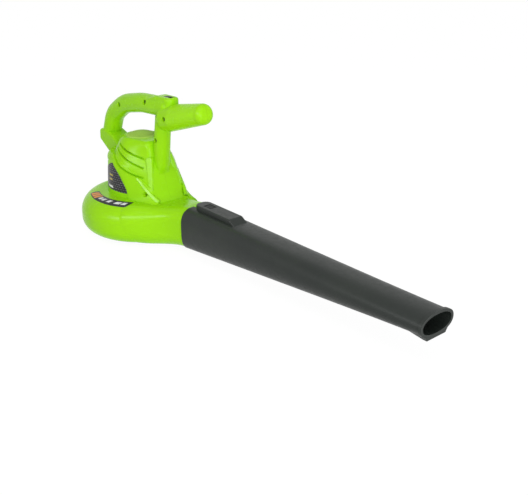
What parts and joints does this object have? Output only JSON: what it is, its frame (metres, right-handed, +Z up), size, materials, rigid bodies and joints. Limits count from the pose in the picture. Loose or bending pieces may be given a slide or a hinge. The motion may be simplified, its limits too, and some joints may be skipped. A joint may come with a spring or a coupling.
{
  "type": "leaf blower",
  "caption": "Hand-held corded leaf blower: round fan housing, motor tower with a carrying loop and forward grip, and a long tapered tube with a flat oval nozzle.",
  "frame": {"origin": "on the floor plane, under the centre of the fan shaft", "axes": "+X along the tube to the nozzle, +Y to the operator's left, +Z up along the fan shaft"},
  "size_m": [0.6572, 0.1732, 0.2187],
  "materials": {
    "green_shell": "satin moulded",
    "vent_green": "fine mesh",
    "tube_grey": "satin moulded",
    "black_plastic": "moulded",
    "fan_grey": "moulded",
    "steel": "turned",
    "core_steel": "stamped stack",
    "cast_light": "cast",
    "copper_wire": "enamelled copper",
    "blade_brass": "stamped",
    "carbon": "sintered carbon",
    "lead_cover": "smooth"
  },
  "bodies": {
    "shell": {"fan_housing": "green_shell", "housing_right": "green_shell", "housing_left": "green_shell", "motor_vent_cap": "vent_green", "blower_tube": "tube_grey", "base_plate": "black_plastic", "intake_grille": "black_plastic", "latch_cap": "black_plastic", "switch_body": "black_plastic", "inlet_insert": "black_plastic", "brush_holders": "black_plastic", "lower_bearing": "steel", "upper_bearing": "steel", "brush_springs": "steel", "base_screws": "steel", "housing_screws": "steel", "motor_screws": "steel", "stator_core": "core_steel", "lower_bracket": "cast_light", "upper_bracket": "cast_light", "field_coils": "copper_wire", "inlet_blades": "blade_brass", "carbon_brushes": "carbon", "wire_leads": "lead_cover"},
    "rotor": {"impeller": "fan_grey", "impeller_washer": "steel", "impeller_nut": "steel", "motor_shaft": "steel", "armature_core": "core_steel", "armature_winding": "copper_wire", "commutator": "copper_wire"},
    "switch": {"switch_slider": "black_plastic"},
    "release": {"release_button": "black_plastic", "release_spring": "steel"}
  },
  "joints": [
    {"name": "fan_spin", "type": "hinge", "parent": "shell", "child": "rotor", "pos_m": [0, 0, 0.07], "axis": [0, 0, 1], "continuous": true},
    {"name": "switch_slide", "type": "slide", "parent": "shell", "child": "switch", "axis": [1, 0, 0], "range_m": [0, 0.006]},
    {"name": "release_press", "type": "slide", "parent": "shell", "child": "release", "axis": [0, 0, -1], "range_m": [0, 0.004], "stiffness_N_per_m": 800, "springref_m": -0.002, "deforming": ["release_spring"]}
  ]
}
